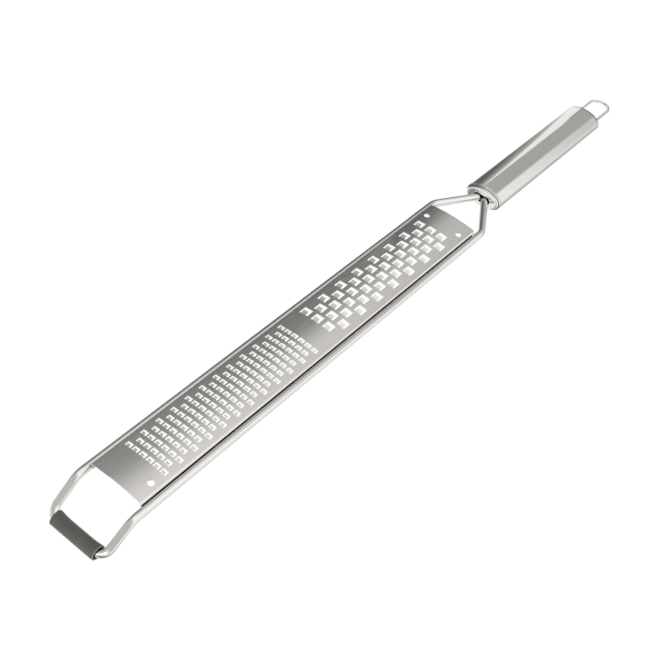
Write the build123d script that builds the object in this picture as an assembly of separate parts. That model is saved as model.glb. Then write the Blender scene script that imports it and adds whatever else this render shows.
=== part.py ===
from build123d import *
import math
import os

# Long flat rasp on a bent wire frame, with an oval tube handle, a rubber foot and a hanging loop.
# Lengths are in millimetres. While it is built, X runs from the foot to the handle,
# Z = 0 is the height of the side rails and X = 0 is the axis of the foot bar.

# Frame wire: foot bar, two side rails and a neck whose two tails go into the handle.
# Each bend is named by its inner radius, and the wire's own radius is added to it.
wire_radius = 1.9
foot_drop = 10.5
foot_taper = 0.5
foot_inner_radius = 3.1
drop_reach = 14.5
drop_inner_radius = 8.1
rail_spacing = 30.2
rail_run_out = 5.5
neck_inner_radius = 7.6
neck_reach = 22.0
neck_rise = 0.4
throat_inner_radius = 0.3
tail_gap = 0.3
tail_length = 14.0

# Grater plate: crowned sheet with a flange folded down and inward along each long edge.
# The fold overhangs the wire by the lap, and the flange leans in, so it stays off the wire.
sheet = 0.5
plate_lead = 5.7
crown_height = 4.5
crown_radius = 83.0
fold_inner_radius = 0.6
flange_lap = 0.55
flange_lean = 30.0
flange_leg = 1.5
cut_overrun = 1.0

# Fine teeth: staggered rows, with one tooth less in every second row.
# A bar is the metal left between two windows, and an opening is the part of a window
# that its tongue leaves free.
fine_rows = 23
fine_columns = 6
fine_margin = 15.3
fine_side_margin = 4.25
fine_pitch = 4.2
fine_bar_along = 1.7
fine_bar_across = 0.7
fine_opening = 1.3
fine_side_gap = 0.8
fine_rise = 0.4

# Coarse teeth: staggered rows of equal count
coarse_rows = 15
coarse_columns = 3
coarse_rear_margin = 19.8
coarse_side_margin = 5.55
coarse_pitch = 6.3
coarse_bar_along = 1.55
coarse_bar_across = 2.06
coarse_opening = 2.55
coarse_side_gap = 0.82
coarse_taper = 0.2
coarse_rise = 0.6
zone_gap = 14.6
stagger_share = 0.25

# A tongue's root lies inside the sheet, between these shares of its thickness
root_low_share = 0.85
root_high_share = 0.15
root_overlap = 0.15

# Round tooling holes near the plate's corners
tooling_hole_radius = 1.5
tooling_side_margin = 4.05
tooling_front_margin = 9.2
tooling_rear_margin = 9.1

# Weld seams that hold the flanges to the rails, placed from the foot of each flange
seam_radius = 0.45
seam_margin = 1.0
seam_shift = 0.35
seam_drop = 0.12

# Rubber foot: a tube pushed over the foot bar, opened out at both mouths
sleeve_inset = 2.9
sleeve_fit = 0.1
sleeve_throat = 1.0
sleeve_mouth_gap = 0.2
sleeve_mouth_wall = 0.55
sleeve_edge_share = 0.5

# Handle tube, of oval section
handle_half_width = 10.4
handle_half_height = 6.0
handle_wall = 0.8
handle_length = 103.0
handle_lead = 3.0
handle_rise = 0.5
tube_edge_share = 0.4

# Caps: pressed cups whose skirts fit inside the tube
cap_wall = 0.8
cap_fit = 0.05
skirt_length = 6.0
front_cap_depth = 1.5
front_cap_step = 0.6
front_edge_share = 0.95
ring_flat = 0.4
ring_edge_share = 0.75
slot_side_gap = 0.45
slot_end_gap = 1.05
rear_cap_depth = 2.0
rear_edge_share = 0.85
inner_edge_share = 0.7

# Hanging loop: a thin wire U whose legs go through the rear cap
loop_wire_radius = 0.85
loop_reach = 23.4
loop_drop = 1.1
loop_corner_share = 0.93
loop_tail_length = 7.0
loop_hole_fit = 0.1

# Weld metal inside the caps
neck_bead_width = 1.0
neck_bead_length = 3.0
loop_bead_width = 0.44
loop_bead_tip_width = 0.25
loop_bead_length = 1.4
loop_bead_gap = 1.66

# The plate is as long as its two zones of teeth and their margins
fine_zone = (fine_rows - 1) * fine_pitch
coarse_zone = (coarse_rows - 1) * coarse_pitch
coarse_margin = fine_margin + fine_zone + zone_gap
plate_length = coarse_margin + coarse_zone + coarse_rear_margin
plate_front = drop_reach + plate_lead
plate_rear = plate_front + plate_length

# The rails run just past the plate
rail_side = rail_spacing / 2
foot_side = rail_side - foot_taper
neck_start = plate_rear + rail_run_out
throat = neck_start + neck_reach
tail_end = throat + tail_length
tail_side = wire_radius + tail_gap / 2

# Each fold turns about a line inside the plate's edge, from the crown's slope until its
# flange leans inward
flange_side = rail_side - wire_radius + flange_lap
fold_outer_radius = fold_inner_radius + sheet
fold_side = flange_side - fold_outer_radius
crown_reach = crown_radius - fold_outer_radius
fold_height = crown_height - crown_radius + math.sqrt(crown_reach ** 2 - fold_side ** 2)
fold_start = math.asin(fold_side / crown_reach)
fold_end = math.radians(90 + flange_lean)

# The teeth spread over the width between the flanges
fine_across = 2 * (flange_side - fine_side_margin) / (fine_columns - 1)
coarse_steps = (coarse_columns - 1) / 2 + stagger_share
coarse_across = (flange_side - coarse_side_margin) / coarse_steps

# The foot bar starts to bend inside the rubber, so the mouth clears the bent bar
foot_leg = math.hypot(drop_reach, foot_drop, foot_taper)
foot_turn = math.acos(foot_taper / foot_leg)
foot_bend = wire_radius + foot_inner_radius
bar_straight = foot_side - foot_bend * math.tan(foot_turn / 2)
sleeve_side = foot_side - sleeve_inset
bent_run = max(0, sleeve_side - bar_straight)
bent_depth = math.sqrt(foot_bend ** 2 - bent_run ** 2)
bar_reach = foot_bend - bent_depth + wire_radius * foot_bend / bent_depth
mouth_radius = bar_reach + sleeve_mouth_gap
sleeve_radius = mouth_radius + sleeve_mouth_wall

# The tube starts behind the throat, and each cap stands a little proud of it
tube_front = throat + handle_lead
tube_rear = tube_front + handle_length
skirt_inset = handle_wall + cap_fit
skirt_bore_inset = skirt_inset + cap_wall
ring_edge_radius = ring_edge_share * front_cap_step
ring_front = tube_front - ring_flat - 2 * ring_edge_radius
cap_front = ring_front - front_cap_depth
cap_rear = tube_rear + rear_cap_depth
loop_end = cap_rear + loop_reach
loop_bead_radius = loop_wire_radius + loop_bead_width
loop_side = handle_half_width - skirt_bore_inset - loop_bead_radius - loop_bead_gap
loop_height = handle_rise - loop_drop

# The tool lies on its foot and on the rear end of the handle, so the whole is
# turned about Y by the angle that brings both down to one surface.
rest_run = tube_rear
rest_climb = handle_rise - handle_half_height + foot_drop
rest_distance = math.hypot(rest_run, rest_climb)
rest_tilt = math.atan2(rest_climb, rest_run) + math.asin(sleeve_radius / rest_distance)


def turned_x(x, z):
    return x * math.cos(rest_tilt) + z * math.sin(rest_tilt)


def turned_z(x, z):
    return z * math.cos(rest_tilt) - x * math.sin(rest_tilt)


row_x_low = turned_x(0, -foot_drop) - sleeve_radius
row_x_high = turned_x(loop_end, loop_height) + loop_wire_radius
row_z_low = turned_z(0, -foot_drop) - sleeve_radius
row_shift = Pos(-(row_x_low + row_x_high) / 2, 0, -row_z_low)
row_turn = Rot(0, math.degrees(rest_tilt), 0)


def save(name, shape):
    placed = row_shift * row_turn * shape
    placed.label = name
    export_step(placed, "parts/" + name + ".step")


def along_x(radius, start, end, y, z):
    # A round bar along X between two places
    face = Plane(origin=(start, y, z), z_dir=(1, 0, 0)) * Circle(radius)
    return extrude(face, amount=end - start)


def rounded(face, x, height, radius):
    # Round the outline's corner that lies at this place
    corner = face.vertices().sort_by_distance((x, height, 0))[0]
    return fillet(corner, radius)


def oval_bar(start, end, inset):
    # A bar along X of the handle's oval section, drawn in by an inset
    place = Plane(origin=(start, 0, handle_rise), z_dir=(1, 0, 0), x_dir=(0, 1, 0))
    face = place * Ellipse(handle_half_width - inset, handle_half_height - inset)
    return extrude(face, amount=end - start)


def front_rounded(bar, radius):
    return fillet(bar.faces().sort_by(Axis.X)[0].edges(), radius)


def rear_rounded(bar, radius):
    return fillet(bar.faces().sort_by(Axis.X)[-1].edges(), radius)


def bent_wire(points, radii, radius):
    path = FilletPolyline(*points, radius=radii)
    section = Plane(origin=path @ 0, z_dir=path % 0) * Circle(radius)
    return sweep(section, path=path)


def frame_wire():
    # One wire: from a tail down the left rail, across the foot and back along the right
    left = [
        (tail_end, tail_side, neck_rise),
        (throat, tail_side, neck_rise),
        (neck_start, rail_side, 0),
        (drop_reach, rail_side, 0),
        (0, foot_side, -foot_drop),
    ]
    right = [(x, -y, z) for x, y, z in reversed(left)]
    inner_radii = [throat_inner_radius, neck_inner_radius, drop_inner_radius, foot_inner_radius]
    radii = [wire_radius + inner for inner in inner_radii]
    return bent_wire(left + right, radii + radii[::-1], wire_radius)


def on_crown(x, across):
    # A place on the crowned top, a given way round the arc from the centre line
    angle = across / crown_radius
    y = crown_radius * math.sin(angle)
    z = crown_height - crown_radius * (1 - math.cos(angle))
    return Pos(x, y, z) * Rot(-math.degrees(angle), 0, 0)


def on_fold(radius, angle):
    # A place on the right fold, a given turn away from straight up
    return (fold_side + radius * math.sin(angle), fold_height + radius * math.cos(angle))


def flange_foot(depth):
    # Where the right flange ends, this far below the sheet's outer face
    side, height = on_fold(fold_outer_radius - depth, fold_end)
    return (side + flange_leg * math.cos(fold_end), height - flange_leg * math.sin(fold_end))


def mirrored(place):
    return (-place[0], place[1])


def sheet_line(depth):
    # The sheet's section this far below its outer face, from flange foot to flange foot
    radius = fold_outer_radius - depth
    middle_turn = (fold_start + fold_end) / 2
    first, middle, last = [on_fold(radius, turn) for turn in (fold_start, middle_turn, fold_end)]
    foot = flange_foot(depth)
    crown = ThreePointArc(mirrored(first), (0, crown_height - depth), first)
    right = [ThreePointArc(first, middle, last), Line(last, foot)]
    left = [
        ThreePointArc(mirrored(first), mirrored(middle), mirrored(last)),
        Line(mirrored(last), mirrored(foot)),
    ]
    return [crown] + right + left


def folded_face():
    # The whole section of the folded sheet
    outer_foot, inner_foot = flange_foot(0), flange_foot(sheet)
    ends = [Line(outer_foot, inner_foot), Line(mirrored(outer_foot), mirrored(inner_foot))]
    return make_face(sheet_line(0) + sheet_line(sheet) + ends)


def tooth_window(length, width):
    # Cutter for one window, from its hinge side at X = 0
    deep = sheet + cut_overrun
    return Pos(length / 2, 0, 0) * Box(length, width, 2 * deep)


def tooth_tongue(length, root_width, tip_width, rise):
    # The raised tongue, hinged at X = 0 with its cutting edge towards the handle
    root_middle = -sheet * (root_low_share + root_high_share) / 2
    thickness = sheet * (root_low_share - root_high_share)
    root = Plane(origin=(-root_overlap, 0, root_middle), z_dir=(1, 0, 0), x_dir=(0, 1, 0))
    tip = Plane(origin=(length, 0, rise - thickness / 2), z_dir=(1, 0, 0), x_dir=(0, 1, 0))
    root_face = root * Rectangle(root_width, thickness)
    tip_face = tip * Rectangle(tip_width, thickness)
    return loft([root_face, tip_face])


def fine_places():
    places = []
    for row in range(fine_rows):
        count = fine_columns - row % 2
        x = plate_front + fine_margin + row * fine_pitch
        for column in range(count):
            across = (column - (count - 1) / 2) * fine_across
            places.append(on_crown(x, across))
    return places


def coarse_places():
    places = []
    stagger = stagger_share * coarse_across
    for row in range(coarse_rows):
        shift = stagger if row % 2 == 0 else -stagger
        x = plate_front + coarse_margin + row * coarse_pitch
        for column in range(coarse_columns):
            middle = (column - (coarse_columns - 1) / 2) * coarse_across
            places.append(on_crown(x, middle + shift))
    return places


def tooling_holes():
    side = flange_side - tooling_side_margin
    front = (plate_front + tooling_front_margin, -side)
    rear_left = (plate_rear - tooling_rear_margin, side)
    rear_right = (plate_rear - tooling_rear_margin, -side)
    drill = Cylinder(tooling_hole_radius, 2 * (sheet + cut_overrun))
    return [on_crown(x, y) * drill for x, y in (front, rear_left, rear_right)]


def grater_plate():
    section = Plane(origin=(plate_front, 0, 0), z_dir=(1, 0, 0), x_dir=(0, 1, 0)) * folded_face()
    plate = extrude(section, amount=plate_length)
    fine_length = fine_pitch - fine_bar_along
    fine_width = fine_across - fine_bar_across
    fine_root = fine_width - 2 * fine_side_gap
    coarse_length = coarse_pitch - coarse_bar_along
    coarse_width = coarse_across - coarse_bar_across
    coarse_root = coarse_width - 2 * coarse_side_gap
    coarse_tip = coarse_root - 2 * coarse_taper
    fine_window = tooth_window(fine_length, fine_width)
    coarse_window = tooth_window(coarse_length, coarse_width)
    fine_tongue = tooth_tongue(fine_length - fine_opening, fine_root, fine_root, fine_rise)
    coarse_tongue = tooth_tongue(
        coarse_length - coarse_opening, coarse_root, coarse_tip, coarse_rise
    )
    cutters = [place * fine_window for place in fine_places()]
    cutters += [place * coarse_window for place in coarse_places()]
    plate = plate - (cutters + tooling_holes())
    tongues = [place * fine_tongue for place in fine_places()]
    tongues += [place * coarse_tongue for place in coarse_places()]
    return plate + tongues


def rail_welds():
    # One long seam in the angle between each flange and its rail
    seat_side, seat_height = flange_foot(0)
    across = seat_side + seam_shift
    height = seat_height - seam_drop
    start = plate_front + seam_margin
    end = plate_rear - seam_margin
    seams = [along_x(seam_radius, start, end, side * across, height) for side in (-1, 1)]
    return Compound(children=seams)


def foot_sleeve():
    # Outline along Y, turned about the foot bar
    bore = wire_radius + sleeve_fit
    narrow_side = bar_straight - sleeve_throat
    outline = [
        (-sleeve_side, mouth_radius),
        (-sleeve_side, sleeve_radius),
        (sleeve_side, sleeve_radius),
        (sleeve_side, mouth_radius),
        (narrow_side, bore),
        (-narrow_side, bore),
    ]
    face = make_face(Polyline(*outline, close=True))
    edge_radius = sleeve_edge_share * sleeve_mouth_wall
    for end in (-sleeve_side, sleeve_side):
        face = rounded(face, end, sleeve_radius, edge_radius)
    tube = revolve(face, axis=Axis.X)
    return Pos(0, 0, -foot_drop) * Rot(0, 0, 90) * tube


def handle_tube():
    bar = front_rounded(oval_bar(tube_front, tube_rear, 0), tube_edge_share * handle_wall)
    return bar - oval_bar(tube_front - cut_overrun, tube_rear + cut_overrun, handle_wall)


def slot_outline(x, margin):
    # Long round-ended outline about the two tails of the frame wire
    half_length = tail_side + wire_radius + slot_end_gap + margin
    half_height = wire_radius + slot_side_gap + margin
    place = Plane(origin=(x, 0, neck_rise), z_dir=(1, 0, 0), x_dir=(0, 1, 0))
    return place * SlotOverall(2 * half_length, 2 * half_height)


def front_cap():
    # Face with a rounded edge, a ring against the tube's end, and the skirt
    skirt_end = tube_front + skirt_length
    face = front_rounded(
        oval_bar(cap_front, tube_front, front_cap_step), front_edge_share * front_cap_depth
    )
    ring = front_rounded(oval_bar(ring_front, tube_front, 0), ring_edge_radius)
    ring = rear_rounded(ring, ring_edge_radius)
    skirt = oval_bar(ring_front + ring_edge_radius, skirt_end, skirt_inset)
    hollow = oval_bar(cap_front + cap_wall, skirt_end + cut_overrun, skirt_bore_inset)
    hollow = front_rounded(hollow, inner_edge_share * cap_wall)
    slot = extrude(slot_outline(cap_front - cut_overrun, 0), amount=cap_wall + 2 * cut_overrun)
    return face + ring + skirt - hollow - slot


def neck_weld():
    # Weld metal round both tails, against the inner face of the front cap
    seat = cap_front + cap_wall
    bead = extrude(slot_outline(seat, neck_bead_width), amount=neck_bead_length)
    return bead - frame_wire()


def rear_cap():
    skirt_end = tube_rear - skirt_length
    cup = rear_rounded(oval_bar(tube_rear, cap_rear, 0), rear_edge_share * rear_cap_depth)
    skirt = oval_bar(skirt_end, cap_rear - cap_wall, skirt_inset)
    hollow = oval_bar(skirt_end - cut_overrun, cap_rear - cap_wall, skirt_bore_inset)
    hollow = rear_rounded(hollow, inner_edge_share * cap_wall)
    cap = cup + skirt - hollow
    hole_radius = loop_wire_radius + loop_hole_fit
    start = cap_rear - cap_wall - cut_overrun
    end = cap_rear + cut_overrun
    for y in (-loop_side, loop_side):
        cap = cap - along_x(hole_radius, start, end, y, loop_height)
    return cap


def hanging_loop():
    tail = cap_rear - cap_wall - loop_tail_length
    points = [
        (tail, loop_side, loop_height),
        (loop_end, loop_side, loop_height),
        (loop_end, -loop_side, loop_height),
        (tail, -loop_side, loop_height),
    ]
    corner = loop_corner_share * loop_side
    return bent_wire(points, [corner, corner], loop_wire_radius)


def loop_welds():
    # A small cone of weld metal round each leg, against the inner face of the rear cap
    seat = cap_rear - cap_wall
    tip = seat - loop_bead_length
    tip_radius = loop_wire_radius + loop_bead_tip_width
    cones = []
    for y in (-loop_side, loop_side):
        wide = Plane(origin=(seat, y, loop_height), z_dir=(-1, 0, 0)) * Circle(loop_bead_radius)
        narrow = Plane(origin=(tip, y, loop_height), z_dir=(-1, 0, 0)) * Circle(tip_radius)
        leg = along_x(loop_wire_radius, tip - cut_overrun, seat + cut_overrun, y, loop_height)
        cones.append(loft([wide, narrow]) - leg)
    return Compound(children=cones)


os.makedirs("parts", exist_ok=True)
save("frame_wire", frame_wire())
save("grater_plate", grater_plate())
save("rail_welds", rail_welds())
save("foot_sleeve", foot_sleeve())
save("handle_tube", handle_tube())
save("front_cap", front_cap())
save("neck_weld", neck_weld())
save("rear_cap", rear_cap())
save("hanging_loop", hanging_loop())
save("loop_welds", loop_welds())
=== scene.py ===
import bpy
import bmesh
from math import asin, cos, pi, radians, sin, sqrt
from mathutils import Matrix, Vector


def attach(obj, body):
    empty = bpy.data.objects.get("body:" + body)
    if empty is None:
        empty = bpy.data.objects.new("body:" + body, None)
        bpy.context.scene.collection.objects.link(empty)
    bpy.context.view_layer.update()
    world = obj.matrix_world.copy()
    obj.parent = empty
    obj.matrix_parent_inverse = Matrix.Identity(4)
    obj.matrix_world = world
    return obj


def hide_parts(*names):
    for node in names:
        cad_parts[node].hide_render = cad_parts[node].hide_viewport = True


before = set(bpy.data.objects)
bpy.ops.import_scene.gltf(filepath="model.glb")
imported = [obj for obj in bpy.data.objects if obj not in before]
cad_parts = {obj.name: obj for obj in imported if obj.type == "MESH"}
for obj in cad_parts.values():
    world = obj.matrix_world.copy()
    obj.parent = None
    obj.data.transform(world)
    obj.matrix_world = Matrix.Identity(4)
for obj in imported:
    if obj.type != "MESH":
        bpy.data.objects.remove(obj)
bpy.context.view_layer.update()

# Frame wire. One length of 3.8 mm stainless wire, drawn bright and bent cold, is the foot bar,
# the two rails and the neck, and its two tails run side by side into the handle. Sizes are in
# millimetres from the foot bar, before the tool is laid down on its foot and its handle's end.
MM = 0.001
LAID_DOWN = Matrix.Translation((-0.203351, 0, 0.013714)) @ Matrix.Rotation(radians(1.2259), 4, "Y")
WIRE_RADIUS = 1.9
HALF_FRAME = [
    (292.0, 2.05, 0.4, 0.0),
    (278.0, 2.05, 0.4, 2.2),
    (256.0, 15.1, 0.0, 9.5),
    (14.5, 15.1, 0.0, 10.0),
    (0.0, 14.6, -10.5, 5.0),
]


def add(tree, kind, inputs=(), **settings):
    """A node with these settings. An input takes a value, a socket or a node's first output."""
    node = tree.nodes.new(kind)
    for key, value in settings.items():
        setattr(node, key, value)
    for key, value in inputs.items() if isinstance(inputs, dict) else enumerate(inputs):
        if isinstance(value, bpy.types.Node):
            value = value.outputs[0]
        if isinstance(value, bpy.types.NodeSocket):
            tree.links.new(value, node.inputs[key])
        elif value is not None:
            node.inputs[key].default_value = value
    return node


def linear(hex_colour):
    """The linear colour that a shader takes, of an sRGB hex value."""
    parts = [int(hex_colour[i : i + 2], 16) / 255 for i in (1, 3, 5)]
    return [c / 12.92 if c <= 0.04045 else ((c + 0.055) / 1.055) ** 2.4 for c in parts] + [1.0]


def new_tree(name, inputs):
    """An empty geometry tree with a mesh going in and out, and these named inputs."""
    tree = bpy.data.node_groups.new(name, "GeometryNodeTree")
    tree.interface.new_socket("Mesh", in_out="INPUT", socket_type="NodeSocketGeometry")
    tree.interface.new_socket("Mesh", in_out="OUTPUT", socket_type="NodeSocketGeometry")
    for label, kind in inputs.items():
        tree.interface.new_socket(label, in_out="INPUT", socket_type="NodeSocket" + kind)
    return tree, tree.nodes.new("NodeGroupInput"), tree.nodes.new("NodeGroupOutput")


def finish_tree(tree, geometry, metal, out):
    """End a tree with real faces of one material."""
    real = add(tree, "GeometryNodeRealizeInstances", [geometry])
    dressed = add(tree, "GeometryNodeSetMaterial", {"Geometry": real, "Material": metal})
    tree.links.new(dressed.outputs[0], out.inputs[0])


def put_on(obj, tree, values):
    """Give the object a modifier with this tree, its inputs set by their identifiers."""
    modifier = obj.modifiers.new(tree.name, "NODES")
    modifier.node_group = tree
    for item in tree.interface.items_tree:
        if item.in_out == "INPUT" and item.name in values:
            modifier[item.identifier] = values[item.name]


def settle(obj, sharp=30):
    """Bake the modifiers into a plain mesh, lay it down with the tool, and smooth its faces."""
    graph = bpy.context.evaluated_depsgraph_get()
    mesh = bpy.data.meshes.new_from_object(obj.evaluated_get(graph))
    obj.modifiers.clear()
    rough_mesh = obj.data
    obj.data = mesh
    bpy.data.meshes.remove(rough_mesh)
    mesh.name = obj.name
    mesh.transform(LAID_DOWN)
    mesh.shade_smooth()
    mesh.set_sharp_from_angle(angle=radians(sharp))
    return obj


def hold(obj, slot, *nodes):
    """The piece rides on the tool's one body and stands for these solids."""
    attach(obj, "root")
    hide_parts(*nodes)


def bare_material(name):
    """A material with an empty tree."""
    material = bpy.data.materials.new(name)
    material.use_nodes = True
    material.node_tree.nodes.clear()
    return material, material.node_tree


def steel(name, colour, roughness, line, reach, depth, streak, place="Object", shade_painter=None):
    """Stainless steel with fine lines along X: their spacing and reach are in millimetres."""
    # Real grinding and draw lines are a few hundredths of a millimetre apart. They are drawn
    # coarser than that, so that they show, over wide clouds of slight wear.
    material, tree = bare_material(name)
    if place == "Object":
        where = add(tree, "ShaderNodeTexCoord").outputs["Object"]
    else:
        where = add(tree, "ShaderNodeAttribute", attribute_name=place).outputs["Vector"]
    scale = (1 / (reach * MM), 1 / (line * MM), 1 / (line * MM))
    along = add(tree, "ShaderNodeMapping", {"Vector": where, "Scale": scale})
    lines = add(tree, "ShaderNodeTexNoise", {"Vector": along, "Scale": 1.0, "Detail": 3.0})
    wide = {"Vector": where, "Scale": 1 / (26 * MM), "Detail": 2.0}
    cloud = add(tree, "ShaderNodeTexNoise", wide)
    tone = add(tree, "ShaderNodeMapRange", [lines, 0.3, 0.7, 1 - streak, 1 + streak])
    wear = add(tree, "ShaderNodeMapRange", [cloud, 0.3, 0.7, 0.98, 1.02])
    both = add(tree, "ShaderNodeMath", [tone, wear], operation="MULTIPLY")
    tint = add(tree, "ShaderNodeVectorMath", {0: linear(colour)[:3], "Scale": both}, operation="SCALE")
    # Where a shade painter is given, it darkens the tint with painted shade
    if shade_painter:
        tint = shade_painter(tree, where, tint)
    rough = add(tree, "ShaderNodeMapRange", [lines, 0.3, 0.7, roughness * 0.85, roughness * 1.15])
    bump = add(tree, "ShaderNodeBump", {"Height": lines, "Strength": depth, "Distance": 0.02 * MM})
    finish = {"Base Color": tint, "Metallic": 1.0, "Roughness": rough, "Normal": bump}
    add(tree, "ShaderNodeOutputMaterial", [add(tree, "ShaderNodeBsdfPrincipled", finish)])
    return material


def wire_tree(name, metal):
    """A round wire that follows a line of corners, each rounded by its own bend radius."""
    tree, taken, given = new_tree(name, {"Wire Radius": "Float", "Sides": "Int", "Bend Steps": "Int"})
    line = add(tree, "GeometryNodeMeshToCurve", [taken.outputs["Mesh"]])
    bend = add(tree, "GeometryNodeInputNamedAttribute", ["bend"], data_type="FLOAT")
    corner = {"Curve": line, "Count": taken.outputs["Bend Steps"], "Radius": bend}
    path = add(tree, "GeometryNodeFilletCurve", corner, mode="POLY")
    length = add(tree, "GeometryNodeSplineParameter").outputs["Length"]
    keep = {"Geometry": path, "Name": "along", "Value": length}
    path = add(tree, "GeometryNodeStoreNamedAttribute", keep, data_type="FLOAT", domain="POINT")
    sizes = {"Resolution": taken.outputs["Sides"], "Radius": taken.outputs["Wire Radius"]}
    ring = add(tree, "GeometryNodeCurvePrimitiveCircle", sizes)
    keep = {"Geometry": ring, "Name": "rim", "Value": add(tree, "GeometryNodeInputPosition")}
    ring = add(tree, "GeometryNodeStoreNamedAttribute", keep, data_type="FLOAT_VECTOR", domain="POINT")
    swept = {"Curve": path, "Profile Curve": ring, "Fill Caps": True}
    body = add(tree, "GeometryNodeCurveToMesh", swept)
    # Each point also keeps the place that it had on the straight wire, for the draw lines
    back = add(tree, "GeometryNodeInputNamedAttribute", ["along"], data_type="FLOAT")
    around = add(tree, "GeometryNodeInputNamedAttribute", ["rim"], data_type="FLOAT_VECTOR")
    parts = add(tree, "ShaderNodeSeparateXYZ", [around]).outputs
    straight = add(tree, "ShaderNodeCombineXYZ", [back, parts[0], parts[1]])
    keep = {"Geometry": body, "Name": "straight", "Value": straight}
    body = add(tree, "GeometryNodeStoreNamedAttribute", keep, data_type="FLOAT_VECTOR", domain="POINT")
    finish_tree(tree, body, metal, given)
    return tree


def bent_wire(name, corners, radius, sides, steps, tree):
    """Lay a wire along its corners, each given as three places and a bend radius."""
    mesh = bpy.data.meshes.new(name)
    points = [(x * MM, y * MM, z * MM) for x, y, z, bend in corners]
    mesh.from_pydata(points, [(i, i + 1) for i in range(len(points) - 1)], [])
    bends = mesh.attributes.new("bend", "FLOAT", "POINT")
    bends.data.foreach_set("value", [bend * MM for x, y, z, bend in corners])
    obj = bpy.data.objects.new(name, mesh)
    bpy.context.scene.collection.objects.link(obj)
    put_on(obj, tree, {"Wire Radius": radius * MM, "Sides": sides, "Bend Steps": steps})
    return settle(obj)


# Bright drawn wire mirrors its surroundings, slightly blurred by the draw lines along it.
bright_wire = steel(
    "stainless_drawn_bright", "#d9d8d5",
    roughness=0.13, line=0.25, reach=30, depth=0.1, streak=0.04, place="straight",
)
whole_frame = HALF_FRAME + [(x, -y, z, bend) for x, y, z, bend in reversed(HALF_FRAME)]
wire_way = wire_tree("bent wire", bright_wire)
frame_wire = bent_wire(
    "bent_frame_wire", whole_frame, WIRE_RADIUS, sides=24, steps=14, tree=wire_way
)
hold(frame_wire, "wire_steel", "frame_wire")

# Grater plate. Half-millimetre stainless sheet is etched and punched with two zones of teeth,
# rolled to a low crown, and its long edges are folded down and inward to stiffen it.
# Each tooth is a tongue hinged at the foot side and raised at its free, sharp end.
SHEET = 0.5
CROWN_TOP, CROWN_RADIUS = 4.5, 83.0
FLANGE_SIDE, FLANGE_LEG, FLANGE_LEAN, FOLD_RADIUS = 13.75, 1.5, radians(30), 1.1
PLATE_FRONT, PLATE_REAR, SHOULDER, FOLD_STEPS = 20.2, 250.5, 11.8, 8
FINE = {
    "Zone Start": 35.5, "Rows": 23, "Row Pitch": 4.2, "Tooth Pitch": 3.8,
    "Window Length": 2.5, "Window Width": 3.1, "Even Phase": 0.5, "Odd Phase": 0.0, "Reach": 9.6,
    "Tongue Length": 1.2, "Tongue Width": 1.5, "Taper": 0.0, "Rise": 0.4,
}
COARSE = {
    "Zone Start": 142.5, "Rows": 15, "Row Pitch": 6.3, "Tooth Pitch": 6.56,
    "Window Length": 4.75, "Window Width": 4.5, "Even Phase": 0.25, "Odd Phase": -0.25, "Reach": 8.3,
    "Tongue Length": 2.2, "Tongue Width": 2.86, "Taper": 0.14, "Rise": 0.6,
}
HOLES = {"Front Hole": 29.4, "Rear Holes": 241.4, "Hole Side": 9.7, "Hole Radius": 1.5}
ZONE_INPUTS = {label: "Int" if label == "Rows" else "Float" for label in FINE}


def crown(across):
    """Side and height of a place on the crown, a given way round its arc."""
    turn = across / CROWN_RADIUS
    return CROWN_RADIUS * sin(turn), CROWN_TOP - CROWN_RADIUS + CROWN_RADIUS * cos(turn)


def window_sides(zone):
    """Every place across the plate where a window of this zone has a side."""
    sides = set()
    for phase in (zone["Even Phase"], zone["Odd Phase"]):
        for step in range(-4, 5):
            middle = (step + phase) * zone["Tooth Pitch"]
            if abs(middle) < zone["Reach"]:
                sides |= {round(middle + half * zone["Window Width"] / 2, 4) for half in (-1, 1)}
    return sides


def window_ends(zone):
    """Every place along the plate where a row of windows starts or ends."""
    starts = [zone["Zone Start"] + row * zone["Row Pitch"] for row in range(zone["Rows"])]
    return {round(x, 4) for x in starts} | {round(x + zone["Window Length"], 4) for x in starts}


def plate_blank():
    """The rolled and folded outer skin, cut in cells whose edges are the windows' edges."""
    heart = FLANGE_SIDE - FOLD_RADIUS
    lean = asin(heart / (CROWN_RADIUS - FOLD_RADIUS))
    heart_height = CROWN_TOP - CROWN_RADIUS + sqrt((CROWN_RADIUS - FOLD_RADIUS) ** 2 - heart**2)
    brow = CROWN_RADIUS * lean
    plain = {-brow, -SHOULDER, 0.0, SHOULDER, brow}
    across = sorted(window_sides(FINE) | window_sides(COARSE) | plain)
    skin = [(place,) + crown(place) for place in across]
    fold = []
    for step in range(1, FOLD_STEPS + 1):
        turn = lean + (pi / 2 + FLANGE_LEAN - lean) * step / FOLD_STEPS
        fold.append((heart + FOLD_RADIUS * sin(turn), heart_height + FOLD_RADIUS * cos(turn)))
    side, height = fold[-1]
    fold.append((side - FLANGE_LEG * sin(FLANGE_LEAN), height - FLANGE_LEG * cos(FLANGE_LEAN)))
    # Past the brow the places only have to lie beyond every window
    outer = [(brow + 1 + i, y, z) for i, (y, z) in enumerate(fold)]
    section = [(-place, -y, z) for place, y, z in reversed(outer)] + skin + outer
    along = sorted(window_ends(FINE) | window_ends(COARSE) | {PLATE_FRONT, PLATE_REAR})
    wide = len(section)
    faces = [
        (i * wide + j, (i + 1) * wide + j, (i + 1) * wide + j + 1, i * wide + j + 1)
        for i in range(len(along) - 1)
        for j in range(wide - 1)
    ]
    points = [(x * MM, y * MM, z * MM) for x in along for place, y, z in section]
    mesh = bpy.data.meshes.new("plate_blank")
    mesh.from_pydata(points, [], faces)
    places = mesh.attributes.new("across", "FLOAT", "POINT")
    places.data.foreach_set("value", [place * MM for x in along for place, y, z in section])
    return mesh


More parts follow.
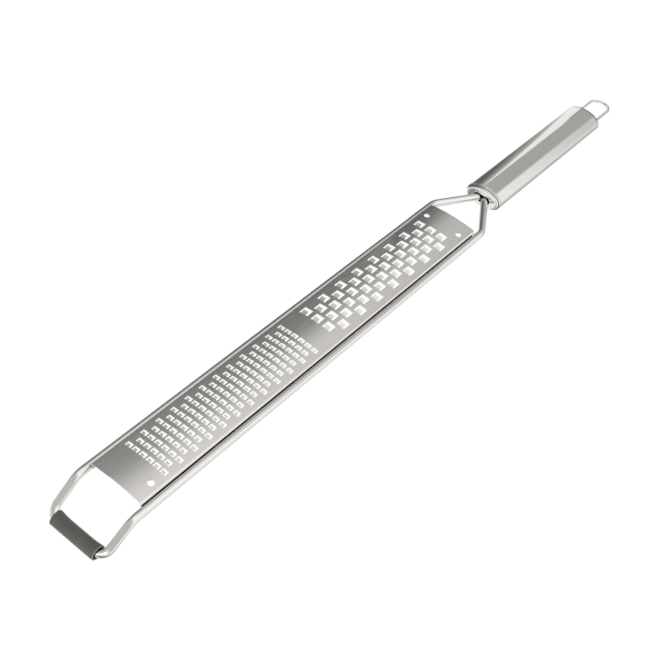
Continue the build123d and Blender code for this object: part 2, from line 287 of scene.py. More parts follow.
def window_tree(metal):
    """Take out the cells that lie in a window of a staggered zone of teeth."""
    tree, taken, given = new_tree("tooth windows", ZONE_INPUTS)
    spot = add(tree, "ShaderNodeSeparateXYZ", [add(tree, "GeometryNodeInputPosition")])
    side = add(tree, "GeometryNodeInputNamedAttribute", ["across"], data_type="FLOAT")
    known = {**{label: taken.outputs[label] for label in ZONE_INPUTS}, "x": spot, "side": side}
    for name, how, *terms in [
        ("past", "SUBTRACT", "x", "Zone Start"),
        ("rows in", "DIVIDE", "past", "Row Pitch"),
        ("row", "FLOOR", "rows in"),
        ("part", "SUBTRACT", "rows in", "row"),
        ("into row", "MULTIPLY", "part", "Row Pitch"),
        ("odd", "FLOORED_MODULO", "row", 2.0),
        ("swing", "SUBTRACT", "Odd Phase", "Even Phase"),
        ("phase", "MULTIPLY_ADD", "odd", "swing", "Even Phase"),
        ("teeth out", "DIVIDE", "side", "Tooth Pitch"),
        ("from phase", "SUBTRACT", "teeth out", "phase"),
        ("tooth", "ROUND", "from phase"),
        ("off tooth", "SUBTRACT", "from phase", "tooth"),
        ("off share", "ABSOLUTE", "off tooth"),
        ("off", "MULTIPLY", "off share", "Tooth Pitch"),
        ("tooth place", "ADD", "tooth", "phase"),
        ("tooth side", "MULTIPLY", "tooth place", "Tooth Pitch"),
        ("tooth out", "ABSOLUTE", "tooth side"),
        ("half width", "DIVIDE", "Window Width", 2.0),
        ("in length", "LESS_THAN", "into row", "Window Length"),
        ("in width", "LESS_THAN", "off", "half width"),
        ("in reach", "LESS_THAN", "tooth out", "Reach"),
        ("after start", "GREATER_THAN", "row", -0.5),
        ("before end", "LESS_THAN", "row", "Rows"),
        ("in window", "MULTIPLY", "in length", "in width"),
        ("in side", "MULTIPLY", "in window", "in reach"),
        ("in front", "MULTIPLY", "in side", "after start"),
        ("inside", "MULTIPLY", "in front", "before end"),
    ]:
        known[name] = add(tree, "ShaderNodeMath", [known.get(t, t) for t in terms], operation=how)
    cut = {"Geometry": taken.outputs["Mesh"], "Selection": known["inside"]}
    finish_tree(tree, add(tree, "GeometryNodeDeleteGeometry", cut, domain="FACE"), metal, given)
    return tree


def hole_tree(metal):
    """Drill the round tooling holes square to the crown: two at the rear, one at the front."""
    labels = [*HOLES, "Crown Top", "Crown Radius"]
    tree, taken, given = new_tree("tooling holes", {label: "Float" for label in labels})
    known = {label: taken.outputs[label] for label in labels}
    grid = add(tree, "GeometryNodeMeshGrid", {"Vertices X": 2, "Vertices Y": 2})
    known["place"] = add(tree, "GeometryNodeInputIndex")
    for name, how, *terms in [
        ("left", "FLOORED_MODULO", "place", 2.0),
        ("rear", "GREATER_THAN", "place", 1.5),
        ("run", "SUBTRACT", "Rear Holes", "Front Hole"),
        ("x", "MULTIPLY_ADD", "rear", "run", "Front Hole"),
        ("sign", "MULTIPLY_ADD", "left", 2.0, -1.0),
        ("side", "MULTIPLY", "sign", "Hole Side"),
        ("turn", "DIVIDE", "side", "Crown Radius"),
        ("sine", "SINE", "turn"),
        ("cosine", "COSINE", "turn"),
        ("y", "MULTIPLY", "sine", "Crown Radius"),
        ("heart", "SUBTRACT", "Crown Top", "Crown Radius"),
        ("z", "MULTIPLY_ADD", "cosine", "Crown Radius", "heart"),
        ("lean", "MULTIPLY", "turn", -1.0),
        ("right", "SUBTRACT", 1.0, "left"),
        ("drilled", "MAXIMUM", "rear", "right"),
        ("depth", "MULTIPLY", "Hole Radius", 2.0),
    ]:
        known[name] = add(tree, "ShaderNodeMath", [known.get(t, t) for t in terms], operation=how)
    spot = add(tree, "ShaderNodeCombineXYZ", [known["x"], known["y"], known["z"]])
    spots = add(tree, "GeometryNodeSetPosition", {"Geometry": grid, "Position": spot})
    size = {"Vertices": 32, "Radius": known["Hole Radius"], "Depth": known["depth"]}
    drill = add(tree, "GeometryNodeMeshCylinder", size)
    aim = add(tree, "ShaderNodeCombineXYZ", [known["lean"]])
    set_out = {"Points": spots, "Instance": drill, "Rotation": aim, "Selection": known["drilled"]}
    drills = add(tree, "GeometryNodeInstanceOnPoints", set_out)
    drills = add(tree, "GeometryNodeRealizeInstances", [drills])
    pair = {"Mesh 1": taken.outputs["Mesh"], "Mesh 2": drills}
    drilled = add(tree, "GeometryNodeMeshBoolean", pair, operation="DIFFERENCE", solver="EXACT")
    finish_tree(tree, drilled, metal, given)
    return tree


def tooth_tree(metal):
    """Raise a tongue in every window of a zone, hinged at the foot side and tipped up."""
    sheet = {"Sheet": "Float", "Crown Top": "Float", "Crown Radius": "Float"}
    tree, taken, given = new_tree("raised teeth", {**ZONE_INPUTS, **sheet})
    known = {label: taken.outputs[label] for label in [*ZONE_INPUTS, *sheet]}
    # Eight places to a row, of which those beyond the zone's reach stay empty
    places = {"Vertices X": known["Rows"], "Vertices Y": 8, "Size X": 1.0, "Size Y": 1.0}
    grid = add(tree, "GeometryNodeMeshGrid", places)
    known["place"] = add(tree, "GeometryNodeInputIndex")
    here = add(tree, "ShaderNodeSeparateXYZ", [add(tree, "GeometryNodeInputPosition")])
    known.update({"slab x": here.outputs[0], "slab y": here.outputs[1], "slab z": here.outputs[2]})
    for name, how, *terms in [
        ("rows in", "DIVIDE", "place", 8.0),
        ("row", "FLOOR", "rows in"),
        ("column", "FLOORED_MODULO", "place", 8.0),
        ("odd", "FLOORED_MODULO", "row", 2.0),
        ("swing", "SUBTRACT", "Odd Phase", "Even Phase"),
        ("phase", "MULTIPLY_ADD", "odd", "swing", "Even Phase"),
        ("from edge", "ADD", "column", "phase"),
        ("from middle", "SUBTRACT", "from edge", 4.0),
        ("side", "MULTIPLY", "from middle", "Tooth Pitch"),
        ("out", "ABSOLUTE", "side"),
        ("there", "LESS_THAN", "out", "Reach"),
        ("x", "MULTIPLY_ADD", "row", "Row Pitch", "Zone Start"),
        ("turn", "DIVIDE", "side", "Crown Radius"),
        ("sine", "SINE", "turn"),
        ("cosine", "COSINE", "turn"),
        ("y", "MULTIPLY", "sine", "Crown Radius"),
        ("heart", "SUBTRACT", "Crown Top", "Crown Radius"),
        ("z", "MULTIPLY_ADD", "cosine", "Crown Radius", "heart"),
        ("lean", "MULTIPLY", "turn", -1.0),
        ("thin", "MULTIPLY", "Sheet", 0.7),
        ("root", "MULTIPLY", "Sheet", 0.3),
        ("long", "ADD", "Tongue Length", "root"),
        ("part", "DIVIDE", "slab x", "long"),
        ("share", "ADD", "part", 0.5),
        ("shift back", "MULTIPLY", "root", -1.0),
        ("tongue x", "MULTIPLY_ADD", "share", "long", "shift back"),
        ("narrower", "MULTIPLY", "share", "Taper"),
        ("narrow", "SUBTRACT", 1.0, "narrower"),
        ("tongue y", "MULTIPLY", "slab y", "narrow"),
        ("base", "MULTIPLY", "Sheet", -0.5),
        ("half thin", "MULTIPLY", "thin", 0.5),
        ("tip", "SUBTRACT", "Rise", "half thin"),
        ("climb", "SUBTRACT", "tip", "base"),
        ("curl", "POWER", "share", 1.35),
        ("lift", "MULTIPLY_ADD", "curl", "climb", "base"),
        ("tongue z", "ADD", "slab z", "lift"),
    ]:
        known[name] = add(tree, "ShaderNodeMath", [known.get(t, t) for t in terms], operation=how)
    spot = add(tree, "ShaderNodeCombineXYZ", [known["x"], known["y"], known["z"]])
    spots = add(tree, "GeometryNodeSetPosition", {"Geometry": grid, "Position": spot})
    size = add(tree, "ShaderNodeCombineXYZ", [known["long"], known["Tongue Width"], known["thin"]])
    cells = {"Size": size, "Vertices X": 5, "Vertices Y": 3, "Vertices Z": 2}
    slab = add(tree, "GeometryNodeMeshCube", cells)
    shape = add(tree, "ShaderNodeCombineXYZ", [known["tongue x"], known["tongue y"], known["tongue z"]])
    tongue = add(tree, "GeometryNodeSetPosition", {"Geometry": slab, "Position": shape})
    aim = add(tree, "ShaderNodeCombineXYZ", [known["lean"]])
    set_out = {"Points": spots, "Instance": tongue, "Rotation": aim, "Selection": known["there"]}
    both = add(tree, "GeometryNodeJoinGeometry", [taken.outputs["Mesh"]])
    tree.links.new(add(tree, "GeometryNodeInstanceOnPoints", set_out).outputs[0], both.inputs[0])
    finish_tree(tree, both, metal, given)
    return tree


def in_metres(zone):
    """The zone's sizes in metres, with its counts and shares as they are."""
    plain = ("Rows", "Even Phase", "Odd Phase", "Taper")
    return {label: value if label in plain else value * MM for label, value in zone.items()}


# Satin sheet steel: a fine lengthwise brushing blurs what it mirrors.
satin_sheet = steel(
    "stainless_sheet_satin", "#dcdad7",
    roughness=0.24, line=0.3, reach=22, depth=0.06, streak=0.02,
)
plate = bpy.data.objects.new("toothed_plate", plate_blank())
bpy.context.scene.collection.objects.link(plate)
windows = window_tree(satin_sheet)
put_on(plate, windows, in_metres(FINE))
put_on(plate, windows, in_metres(COARSE))
wall = plate.modifiers.new("sheet", "SOLIDIFY")
wall.thickness = SHEET * MM
wall.offset = -1.0
wall.use_even_offset = True
rolled = {"Sheet": SHEET * MM, "Crown Top": CROWN_TOP * MM, "Crown Radius": CROWN_RADIUS * MM}
put_on(plate, hole_tree(satin_sheet), {**in_metres(HOLES), **rolled})
teeth = tooth_tree(satin_sheet)
put_on(plate, teeth, {**in_metres(FINE), **rolled})
put_on(plate, teeth, {**in_metres(COARSE), **rolled})
settle(plate)
hold(plate, "plate_steel", "grater_plate")

# Rail welds. A thin seam of weld metal joins each flange to its rail, and more of it holds the
# wire's tails and the loop's legs inside the caps. It is left as welded, and its metal is painted
# rough and nearly black: painted shade for the shadowed gap, so every joint reads as a dark line.
weld_painted_shade = steel(
    "weld_metal_painted_shade", "#2b2a27",
    roughness=0.6, line=0.4, reach=0.6, depth=0.5, streak=0.10,
)
for node in ("rail_welds", "neck_weld", "loop_welds"):
    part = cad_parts[node]
    part.data.materials.clear()
    part.data.materials.append(weld_painted_shade)

# Rubber foot. A moulded tube of dark rubber is pushed over the foot bar, so that the tool
# doesn't slip. Its mouths are stretched where the bar bends up inside them.
SLEEVE_SIDE, SLEEVE_RADIUS, SLEEVE_MOUTH = 11.7, 3.2169, 2.6669
SLEEVE_BORE, SLEEVE_THROAT, FOOT_DROP = 2.0, 8.74, 10.5
SLEEVE_EDGE = 0.25
# The way that the legs leave the bar, how far they pull each mouth open along it, and how far
# from the middle that stretch begins
LEG_WAY, STRETCH, STRETCH_FROM = Vector((0.81, 0.0, 0.586)), 0.5, 5.0
LEAST_OVAL = 0.45


def rounded(corners, steps=6):
    """A closed outline of places, each corner rounded by its own radius."""
    outline = []
    for i, (a, b, radius) in enumerate(corners):
        here = Vector((a, b))
        if not radius:
            outline.append(here)
            continue
        before = (Vector(corners[i - 1][:2]) - here).normalized()
        after = (Vector(corners[(i + 1) % len(corners)][:2]) - here).normalized()
        half = before.angle(after) / 2
        heart = here + (before + after).normalized() * (radius / sin(half))
        first = here + before * (radius * cos(half) / sin(half)) - heart
        last = here + after * (radius * cos(half) / sin(half)) - heart
        sweep = first.angle_signed(last)
        for step in range(steps + 1):
            outline.append(heart + Matrix.Rotation(-sweep * step / steps, 2) @ first)
    return outline


def turned(name, outline, sides, height, along="X", flat=0.0):
    """A closed outline of length and radius, turned about its axis at this height."""
    # A flat of some millimetres brings top and bottom in by that much, which makes the rings
    # oval. None is made flatter than the least oval.
    shape = bmesh.new()
    rings = []
    for place in outline:
        ring = []
        for k in range(sides):
            turn = 2 * pi * k / sides
            out, up = place.y * sin(turn), max(place.y - flat, place.y * LEAST_OVAL) * cos(turn)
            spot = (place.x, out, up + height) if along == "X" else (out, place.x, up + height)
            ring.append(shape.verts.new([v * MM for v in spot]))
        rings.append(ring)
    for i, ring in enumerate(rings):
        other = rings[(i + 1) % len(rings)]
        for k in range(sides):
            m = (k + 1) % sides
            shape.faces.new((ring[k], other[k], other[m], ring[m]))
    bmesh.ops.remove_doubles(shape, verts=shape.verts, dist=1e-6)
    bmesh.ops.dissolve_degenerate(shape, edges=shape.edges, dist=1e-7)
    bmesh.ops.delete(shape, geom=[e for e in shape.edges if not e.link_faces], context="EDGES")
    bmesh.ops.recalc_face_normals(shape, faces=shape.faces)
    mesh = bpy.data.meshes.new(name)
    shape.to_mesh(mesh)
    shape.free()
    obj = bpy.data.objects.new(name, mesh)
    bpy.context.scene.collection.objects.link(obj)
    return obj


def rubber():
    """Moulded rubber, dark grey, whose fine matt skin softens every highlight."""
    # The real skin's grain is about 0.1 mm wide. It is drawn coarser, so that it shows.
    material, tree = bare_material("rubber_moulded_matt")
    place = add(tree, "ShaderNodeTexCoord").outputs["Object"]
    skin = add(tree, "ShaderNodeTexNoise", {"Vector": place, "Scale": 1 / (0.35 * MM), "Detail": 3.0})
    smear = add(tree, "ShaderNodeTexNoise", {"Vector": place, "Scale": 1 / (6 * MM), "Detail": 2.0})
    tones = {0: smear, 6: linear("#4b4b48"), 7: linear("#5a5a56")}
    shade = add(tree, "ShaderNodeMix", tones, data_type="RGBA").outputs[2]
    # The rims of the mouths are painted paler than the skin
    side = add(tree, "ShaderNodeSeparateXYZ", [place]).outputs[1]
    side = add(tree, "ShaderNodeMath", [side], operation="ABSOLUTE")
    rim_from, rim_to = (SLEEVE_SIDE - 0.3) * MM, (SLEEVE_SIDE - 0.05) * MM
    rim = add(tree, "ShaderNodeMapRange", [side, rim_from, rim_to, 0.0, 1.0])
    shade = add(tree, "ShaderNodeMix", {0: rim, 6: shade, 7: linear("#8a8a86")}, data_type="RGBA")
    bump = add(tree, "ShaderNodeBump", {"Height": skin, "Strength": 0.3, "Distance": 0.05 * MM})
    finish = {"Base Color": shade.outputs[2], "Roughness": 0.5, "IOR": 1.52, "Normal": bump}
    add(tree, "ShaderNodeOutputMaterial", [add(tree, "ShaderNodeBsdfPrincipled", finish)])
    return material


sleeve_outline = rounded([
    (-SLEEVE_SIDE, SLEEVE_MOUTH, 0),
    (-SLEEVE_SIDE, SLEEVE_RADIUS, SLEEVE_EDGE),
    (SLEEVE_SIDE, SLEEVE_RADIUS, SLEEVE_EDGE),
    (SLEEVE_SIDE, SLEEVE_MOUTH, 0),
    (SLEEVE_THROAT, SLEEVE_BORE, 0),
    (-SLEEVE_THROAT, SLEEVE_BORE, 0),
])
# The long walls get more rings, so that the stretch towards the mouths is smooth
walled = []
for i, place in enumerate(sleeve_outline):
    after = sleeve_outline[(i + 1) % len(sleeve_outline)]
    count = max(1, round((after - place).length / 1.2))
    walled += [place.lerp(after, k / count) for k in range(count)]
sleeve = turned("rubber_foot", walled, sides=48, height=-FOOT_DROP, along="Y")
for vertex in sleeve.data.vertices:
    past = max(0.0, abs(vertex.co.y) / MM - STRETCH_FROM) / (SLEEVE_SIDE - STRETCH_FROM)
    away = Vector((vertex.co.x, 0.0, vertex.co.z + FOOT_DROP * MM))
    facing = (1 + away.normalized().dot(LEG_WAY)) / 2
    vertex.co += LEG_WAY * STRETCH * MM * facing * past**2
settle(sleeve, 50)
sleeve.data.materials.append(rubber())
hold(sleeve, "foot_rubber", "foot_sleeve")

# Handle tube. A straight length of stainless tube, rolled oval to 20.8 by 12 mm, and ground and
# polished along its length. Radii are those of its wide side, and its flat is what top and
# bottom lack of them.
TUBE_FRONT, TUBE_REAR, TUBE_RADIUS, TUBE_BORE, AXIS_HEIGHT = 281.0, 384.0, 10.4, 9.6, 0.5
FLAT = 4.4
tube_outline = rounded([
    (TUBE_FRONT, TUBE_BORE, 0),
    (TUBE_FRONT, TUBE_RADIUS, 0.32),
    (TUBE_FRONT + 0.4, TUBE_RADIUS, 0),
    (TUBE_REAR, TUBE_RADIUS, 0),
    (TUBE_REAR, TUBE_BORE, 0),
])
# Polished tube steel: a soft mirror, in which the studio shows as long clean bands.
polished_tube = steel(
    "stainless_tube_polished", "#d9d9d5",
    roughness=0.09, line=0.3, reach=30, depth=0.05, streak=0.02,
)
tube = turned("handle_barrel", tube_outline, sides=128, height=AXIS_HEIGHT, flat=FLAT)
settle(tube, 40)
tube.data.materials.append(polished_tube)
hold(tube, "tube_steel", "handle_tube")

# Front cap. A cup pressed from stainless sheet is pushed into the tube's front end. Its ring
# meets the tube, and its face has a long slot for the frame wire's two tails, which are
# welded fast behind it.
RING_FRONT, CAP_FRONT, FACE_RADIUS, SKIRT_RADIUS, SKIRT_BORE = 279.7, 278.2, 9.8, 9.55, 8.75
SLOT_LENGTH, SLOT_HEIGHT, SLOT_CENTRE = 10.0, 4.7, 0.4


def cut_with(obj, cutters):
    """Cut a piece with others, which are then thrown away."""
    for cutter in cutters:
        saw = obj.modifiers.new("cut", "BOOLEAN")
        saw.operation = "DIFFERENCE"
        saw.solver = "EXACT"
        saw.object = cutter
    settle(obj)
    for cutter in cutters:
        bpy.data.objects.remove(cutter)


def slot_punch(x_from, x_to):
    """A round-ended bar along X, as wide as the slot."""
    half = SLOT_HEIGHT / 2
    arm = SLOT_LENGTH / 2 - half
    rim = []
    for side in (1, -1):
        for step in range(17):
            turn = pi * (step / 16 - 0.5)
            rim.append((side * (arm + half * cos(turn)), SLOT_CENTRE + side * half * sin(turn)))
    shape = bmesh.new()
    near = [shape.verts.new((x_from * MM, y * MM, z * MM)) for y, z in rim]
    far = [shape.verts.new((x_to * MM, y * MM, z * MM)) for y, z in rim]
    shape.faces.new(near)
    shape.faces.new(list(reversed(far)))
    for i in range(len(rim)):
        j = (i + 1) % len(rim)
        shape.faces.new((near[i], far[i], far[j], near[j]))
    bmesh.ops.recalc_face_normals(shape, faces=shape.faces)
    mesh = bpy.data.meshes.new("slot_punch")
    shape.to_mesh(mesh)
    shape.free()
    obj = bpy.data.objects.new("slot_punch", mesh)
    bpy.context.scene.collection.objects.link(obj)
    return obj


front_outline = rounded([
    (CAP_FRONT, 0, 0),
    (CAP_FRONT, FACE_RADIUS, 1.425),
    (RING_FRONT, FACE_RADIUS, 0),
    (RING_FRONT, TUBE_RADIUS, 0.45),
    (TUBE_FRONT, TUBE_RADIUS, 0.45),
    (TUBE_FRONT, SKIRT_RADIUS, 0),
    (TUBE_FRONT + 6, SKIRT_RADIUS, 0),
    (TUBE_FRONT + 6, SKIRT_BORE, 0),
    (CAP_FRONT + 0.8, SKIRT_BORE, 0.56),
    (CAP_FRONT + 0.8, 0, 0),
])

def cup_painted_shade(tree, where, tint):
    """Paint shade into the seams at the front ring and at the rear cap, and paint the inside that shows
    through the slot nearly black.
    """
    lie = LAID_DOWN.to_3x3() @ Vector((1, 0, 0)) / MM
    start = LAID_DOWN.inverted().translation.x / MM
    along = add(tree, "ShaderNodeVectorMath", {0: where, 1: lie}, operation="DOT_PRODUCT")
    along = add(tree, "ShaderNodeMath", [along.outputs["Value"], start], operation="ADD")
    # Painted shade: a dark line where the ring meets the face, where it meets the tube, and where the
    # tube meets the rear cap
    for seam, reach in ((RING_FRONT, 0.12), (TUBE_FRONT, 0.2), (TUBE_REAR, 0.15)):
        off = add(tree, "ShaderNodeMath", [along, seam], operation="SUBTRACT")
        off = add(tree, "ShaderNodeMath", [off], operation="ABSOLUTE")
        share = add(tree, "ShaderNodeMapRange", [off, reach * 0.4, reach, 0.2, 1.0])
        tint = add(tree, "ShaderNodeVectorMath", {0: tint, "Scale": share}, operation="SCALE")
    # Inside is what lies behind the face, within the skirt's bore and ahead of the rear cup. It gets
    # painted shade, nearly black.
    centre = LAID_DOWN @ Vector((TUBE_FRONT * MM, 0, AXIS_HEIGHT * MM))
    off = add(tree, "ShaderNodeVectorMath", {0: where, 1: centre}, operation="SUBTRACT")
    round_again = (0, 1 / MM, SKIRT_BORE / (SKIRT_BORE - FLAT) / MM)
    off = add(tree, "ShaderNodeVectorMath", {0: off, 1: round_again}, operation="MULTIPLY")
    out = add(tree, "ShaderNodeVectorMath", {0: off}, operation="LENGTH").outputs["Value"]
    deep = add(tree, "ShaderNodeMapRange", [along, CAP_FRONT + 0.3, CAP_FRONT + 0.6, 0.0, 1.0])
    near = add(tree, "ShaderNodeMapRange", [out, SKIRT_BORE + 0.1, SKIRT_BORE + 0.3, 1.0, 0.0])
    rear = add(tree, "ShaderNodeMapRange", [along, TUBE_REAR + 1.0, TUBE_REAR + 1.1, 1.0, 0.0])
    inside = add(tree, "ShaderNodeMath", [deep, near], operation="MULTIPLY")
    inside = add(tree, "ShaderNodeMath", [inside, rear], operation="MULTIPLY")
    share = add(tree, "ShaderNodeMapRange", [inside, 0.0, 1.0, 1.0, 0.12])
    return add(tree, "ShaderNodeVectorMath", {0: tint, "Scale": share}, operation="SCALE")


# Pressed and tumbled steel: a bright, slightly cloudy mirror, with painted shade in its seams and in
# the inside that shows through the slot.
polished_cup = steel(
    "stainless_pressed_polished", "#dddcd8",
    roughness=0.1, line=0.8, reach=3, depth=0.1, streak=0.03, shade_painter=cup_painted_shade,
)
front_cap = turned("front_cup", front_outline, sides=96, height=AXIS_HEIGHT, flat=FLAT)
cut_with(front_cap, [slot_punch(CAP_FRONT - 1, CAP_FRONT + 2)])
front_cap.data.materials.append(polished_cup)
hold(front_cap, "cap_steel", "front_cap")

# Rear cap. A cup of the same pressed steel closes the tube's rear end. Its rolled edge lies
# on the tube's, and its face has a drilled hole for each leg of the hanging loop.
CAP_REAR = 386.0
LEG_SIDE, LEG_HEIGHT, LEG_HOLE = 5.8, -0.6, 0.95
rear_outline = rounded([
    (CAP_REAR - 0.8, 0, 0),
    (CAP_REAR - 0.8, SKIRT_BORE, 0.56),
    (TUBE_REAR - 6, SKIRT_BORE, 0),
    (TUBE_REAR - 6, SKIRT_RADIUS, 0),
    (TUBE_REAR, SKIRT_RADIUS, 0),
    (TUBE_REAR, TUBE_RADIUS, 0),
    (CAP_REAR, TUBE_RADIUS, 1.7),
    (CAP_REAR, 0, 0),
])
rear_cap = turned("rear_cup", rear_outline, sides=96, height=AXIS_HEIGHT, flat=FLAT)
punches = []
for y in (-LEG_SIDE, LEG_SIDE):
    bar = [Vector((CAP_REAR + x, r)) for x, r in ((-2, 0), (-2, LEG_HOLE), (1, LEG_HOLE), (1, 0))]
    punch = turned("leg_punch", bar, sides=24, height=LEG_HEIGHT)
    punch.data.transform(Matrix.Translation((0, y * MM, 0)))
    punches.append(punch)
cut_with(rear_cap, punches)
rear_cap.data.materials.append(polished_cup)
hold(rear_cap, "cap_steel", "rear_cap")

# Hanging loop. A length of 1.7 mm stainless wire, bent to a U. Its legs go through the rear
# cap's two holes and are welded inside, and it has the same drawn finish as the frame.
LOOP_RADIUS, LOOP_END, LOOP_TAIL, LOOP_BEND = 0.85, 409.4, 378.2, 5.394
loop_line = [
    (LOOP_TAIL, LEG_SIDE, LEG_HEIGHT, 0.0),
    (LOOP_END, LEG_SIDE, LEG_HEIGHT, LOOP_BEND),
    (LOOP_END, -LEG_SIDE, LEG_HEIGHT, LOOP_BEND),
    (LOOP_TAIL, -LEG_SIDE, LEG_HEIGHT, 0.0),
]
loop_way = wire_tree("loop wire", bright_wire)
loop = bent_wire("hang_loop", loop_line, LOOP_RADIUS, sides=20, steps=16, tree=loop_way)
hold(loop, "loop_steel", "hanging_loop")

# The table. A lit sheet of white plastic carries the tool, so that every slot shows white
# and only a trace of shadow is left beside the tool. Places in the studio are in metres.


def flat_sheet(name, corners):
    """One flat face of the studio, from its corners."""
    mesh = bpy.data.meshes.new(name)
    mesh.from_pydata(corners, [], [(0, 1, 2, 3)])
    piece = bpy.data.objects.new(name, mesh)
    bpy.context.scene.collection.objects.link(piece)
    return piece


table = flat_sheet("table", [(-3, -3, 0), (3, -3, 0), (3, 3, 0), (-3, 3, 0)])
lit_sheet, tree = bare_material("acrylic_sheet_lit")
glow = add(tree, "ShaderNodeEmission", {"Color": linear("#ffffff"), "Strength": 0.92})
matt = add(tree, "ShaderNodeBsdfDiffuse", {"Color": linear("#6c6c6c")})
add(tree, "ShaderNodeOutputMaterial", [add(tree, "ShaderNodeAddShader", [glow, matt])])
table.data.materials.append(lit_sheet)

# A grey card stands beside the handle, and gives its polished side one long dark band. It
# turns white towards its far end. Like the mat below, it only shows in what mirrors it.
CARD_START, CARD_END, CARD_SIDE, CARD_TOP = 0.06, 0.25, 0.045, 0.066
grey_card = flat_sheet("grey_card", [
    (CARD_START, CARD_SIDE, 0),
    (CARD_END, CARD_SIDE, 0),
    (CARD_END, CARD_SIDE, CARD_TOP),
    (CARD_START, CARD_SIDE, CARD_TOP),
])


def mirrored_only(piece, tone):
    """Only the tool's shiny parts see this sheet, in a tone that varies over it."""
    material, tree = bare_material(piece.name)
    place = add(tree, "ShaderNodeTexCoord").outputs["Object"]
    place = add(tree, "ShaderNodeSeparateXYZ", [place]).outputs
    glow = add(tree, "ShaderNodeEmission", {"Strength": tone(tree, place)})
    add(tree, "ShaderNodeOutputMaterial", [glow])
    piece.data.materials.append(material)
    piece.visible_camera = piece.visible_diffuse = False
    piece.visible_shadow = piece.visible_transmission = False


def card_tone(tree, place):
    """Dark up to a slanted line, and from there slowly white."""
    past = add(tree, "ShaderNodeMath", [place[2], 0.97, place[0]], operation="MULTIPLY_ADD")
    high = add(tree, "ShaderNodeMapRange", [place[2], 0.034, 0.057, 0.0, 0.013])
    past = add(tree, "ShaderNodeMath", [past, high])
    near = add(tree, "ShaderNodeMapRange", [past, 0.160, 0.205, 0.16, 0.48])
    far = add(tree, "ShaderNodeMapRange", [past, 0.200, 0.235, 0.16, 1.15])
    return add(tree, "ShaderNodeMath", [near, far], operation="MAXIMUM")


mirrored_only(grey_card, card_tone)

# A mat lies under the tool. It is white, with a painted shadow in grey along the tool's outline,
# so that the round undersides of the wire and of the handle end in a darker line.
MAT_END, MAT_SIDE, MAT_HEIGHT = 0.25, 0.06, 0.0004
painted_shadow_mat = flat_sheet("painted_shadow_mat", [
    (-MAT_END, -MAT_SIDE, MAT_HEIGHT),
    (MAT_END, -MAT_SIDE, MAT_HEIGHT),
    (MAT_END, MAT_SIDE, MAT_HEIGHT),
    (-MAT_END, MAT_SIDE, MAT_HEIGHT),
])


def mat_shadow_tone(tree, place):
    """Painted shadow: grey at the half width that the tool has here, and slower to turn white by the
    handle.
    """
    half = add(tree, "ShaderNodeMapRange", [place[0], 0.047, 0.073, 0.017, 0.0104])
    right = add(tree, "ShaderNodeMath", [place[1], 0.0], operation="LESS_THAN")
    handle = add(tree, "ShaderNodeMapRange", [place[0], 0.06, 0.075, 0.0, right])
    reach = add(tree, "ShaderNodeMapRange", [handle, 0.0, 1.0, 0.006, 0.05])
    first = add(tree, "ShaderNodeMapRange", [handle, 0.0, 1.0, 0.35, 0.58])
    out = add(tree, "ShaderNodeMath", [place[1]], operation="ABSOLUTE")
    past = add(tree, "ShaderNodeMath", [out, half], operation="SUBTRACT")
    beyond = add(tree, "ShaderNodeMapRange", [past, 0.0005, reach, first, 1.07])
    within = add(tree, "ShaderNodeMapRange", [past, -0.006, -0.003, 1.07, first])
    return add(tree, "ShaderNodeMath", [beyond, within], operation="MAXIMUM")


mirrored_only(painted_shadow_mat, mat_shadow_tone)

# A light tent stands over the table: a soft white roof that falls off ahead, a dim wall on
# the left from about 25 degrees off the vertical, and a bright wall low on the right. Its
# edges draw the long bands on the handle and the shading across the plate.
world = bpy.data.worlds.new("light_tent")
bpy.context.scene.world = world
world.use_nodes = True
sky = world.node_tree
sky.nodes.clear()
# The tent leans by half a degree from the table, along the tool
level = {"Vector": add(sky, "ShaderNodeTexCoord").outputs["Generated"], "Angle": radians(-0.4923)}
way = add(sky, "ShaderNodeVectorRotate", level, rotation_type="Y_AXIS")
way = add(sky, "ShaderNodeSeparateXYZ", [way])
known = {"ahead": way.outputs[0], "left": way.outputs[1], "up": way.outputs[2]}
known["lean"] = add(sky, "ShaderNodeMath", [known["left"], known["up"]], operation="ARCTAN2")
known["lean"] = add(sky, "ShaderNodeMath", [known["lean"]], operation="DEGREES")
# Each ramp gives stops of how far ahead and how much. Edge and soft are shares of a hundred
# degrees off the vertical on the left, side is such a share short of a hundred degrees on the
# right, and the others are tones.
for name, stops in {
    "roof": [
        (0.0, 1.25), (0.25, 1.10), (0.43, 0.97), (0.60, 0.78),
        (0.66, 0.83), (0.705, 0.80), (0.725, 0.54), (0.74, 0.52),
    ],
    "wall": [
        (0.0, 0.50), (0.30, 0.42), (0.43, 0.33), (0.50, 0.28),
        (0.60, 0.20), (0.71, 0.12), (0.80, 0.12),
    ],
    "edge": [(0.43, 0.235), (0.55, 0.22), (0.62, 0.235), (0.71, 0.335), (0.735, 0.41)],
    "soft": [(0.43, 0.12), (0.60, 0.09), (0.70, 0.025), (0.80, 0.02)],
    "side": [
        (0.43, 0.82), (0.50, 0.61), (0.58, 0.47), (0.65, 0.40),
        (0.68, 0.45), (0.70, 0.83), (0.80, 0.82),
    ],
    "strip": [(0.73, 1.35), (0.76, 1.15), (0.80, 1.0)],
    "side light": [
        (0.43, 1.30), (0.65, 1.25), (0.72, 1.22), (0.765, 1.07), (0.777, 0.98), (0.80, 0.77),
    ],
}.items():
    ramp = add(sky, "ShaderNodeValToRGB", [known["ahead"]])
    marks = ramp.color_ramp.elements
    marks[0].position, marks[1].position = stops[0][0], stops[-1][0]
    marks[0].color, marks[1].color = [stops[0][1]] * 3 + [1], [stops[-1][1]] * 3 + [1]
    for place, tone in stops[1:-1]:
        marks.new(place).color = [tone] * 3 + [1]
    known[name] = ramp
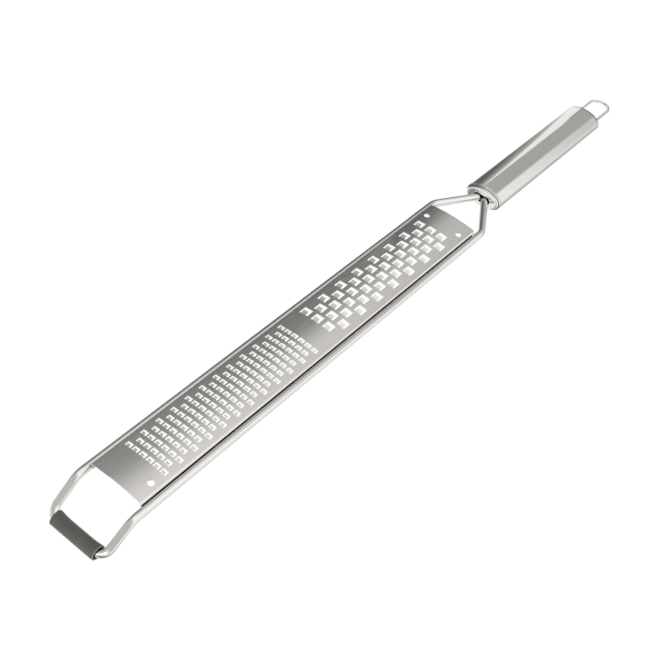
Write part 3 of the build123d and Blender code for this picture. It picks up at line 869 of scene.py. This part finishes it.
for name, how, *terms in [
    ("edge degrees", "MULTIPLY", "edge", 100.0),
    ("soft degrees", "MULTIPLY", "soft", 100.0),
    ("from", "SUBTRACT", "edge degrees", "soft degrees"),
    ("to", "ADD", "edge degrees", "soft degrees"),
    ("side degrees", "MULTIPLY_ADD", "side", 100.0, -100.0),
    ("side from", "SUBTRACT", "side degrees", 5.0),
    ("side to", "ADD", "side degrees", 5.0),
]:
    known[name] = add(sky, "ShaderNodeMath", [known.get(t, t) for t in terms], operation=how)
low = add(sky, "ShaderNodeMapRange", [known["lean"], 46.0, 62.0, 1.0, 0.6])
low_wall = add(sky, "ShaderNodeMath", [known["wall"], low], operation="MULTIPLY")
tone = add(
    sky,
    "ShaderNodeMapRange",
    [known["lean"], known["from"], known["to"], known["roof"], low_wall],
    interpolation_type="SMOOTHSTEP",
)
# Panels of the tent, each laid over those before it: its tone, and the limits of lean and of
# how far ahead between which it fades from one share to another
for strength, limits in [
    (0.52, [("lean", 2.0, 10.0, 1.0, 0.0), ("ahead", 0.62, 0.66, 0.0, 1.0)]),
    (0.52, [("lean", 29.0, 33.0, 1.0, 0.0), ("ahead", 0.718, 0.724, 0.0, 1.0)]),
    ("strip", [
        ("lean", 42.0, 46.0, 0.0, 1.0), ("lean", 50.0, 55.0, 1.0, 0.0),
        ("ahead", 0.711, 0.719, 0.0, 1.0),
    ]),
    (1.15, [("lean", 44.0, 52.0, 0.0, 1.0), ("ahead", 0.741, 0.758, 0.0, 1.0)]),
    ("side light", [("lean", "side from", "side to", 1.0, 0.0)]),
    (0.68, [("ahead", -0.3, -0.1, 1.0, 0.0)]),
    (1.5, [("ahead", -0.85, -0.75, 1.0, 0.0)]),
]:
    share = 1.0
    for what, start, end, first, last in limits:
        bounds = [known.get(what, what), known.get(start, start), known.get(end, end), first, last]
        part = add(sky, "ShaderNodeMapRange", bounds)
        share = add(sky, "ShaderNodeMath", [share, part], operation="MULTIPLY")
    tone = add(sky, "ShaderNodeMix", {0: share, 2: tone, 3: known.get(strength, strength)})
back = add(sky, "ShaderNodeBackground", {"Color": linear("#fffefd"), "Strength": tone})
add(sky, "ShaderNodeOutputWorld", [back])

# The camera stands where the photograph was taken from: beyond the foot end, to its right
# and 0.39 m up, looking along the tool to its handle.
camera_data = bpy.data.cameras.new("camera")
camera_data.lens = 63.7256
camera_data.sensor_width = 36.0
camera_data.clip_start = 0.01
camera = bpy.data.objects.new("camera", camera_data)
bpy.context.scene.collection.objects.link(camera)
camera.location = (-0.364086, -0.193426, 0.390908)
camera.rotation_euler = (radians(43.0494), radians(-7.1278), radians(-50.8875))
bpy.context.scene.camera = camera
bpy.context.scene.view_settings.view_transform = "Standard"

bpy.context.view_layer.update()
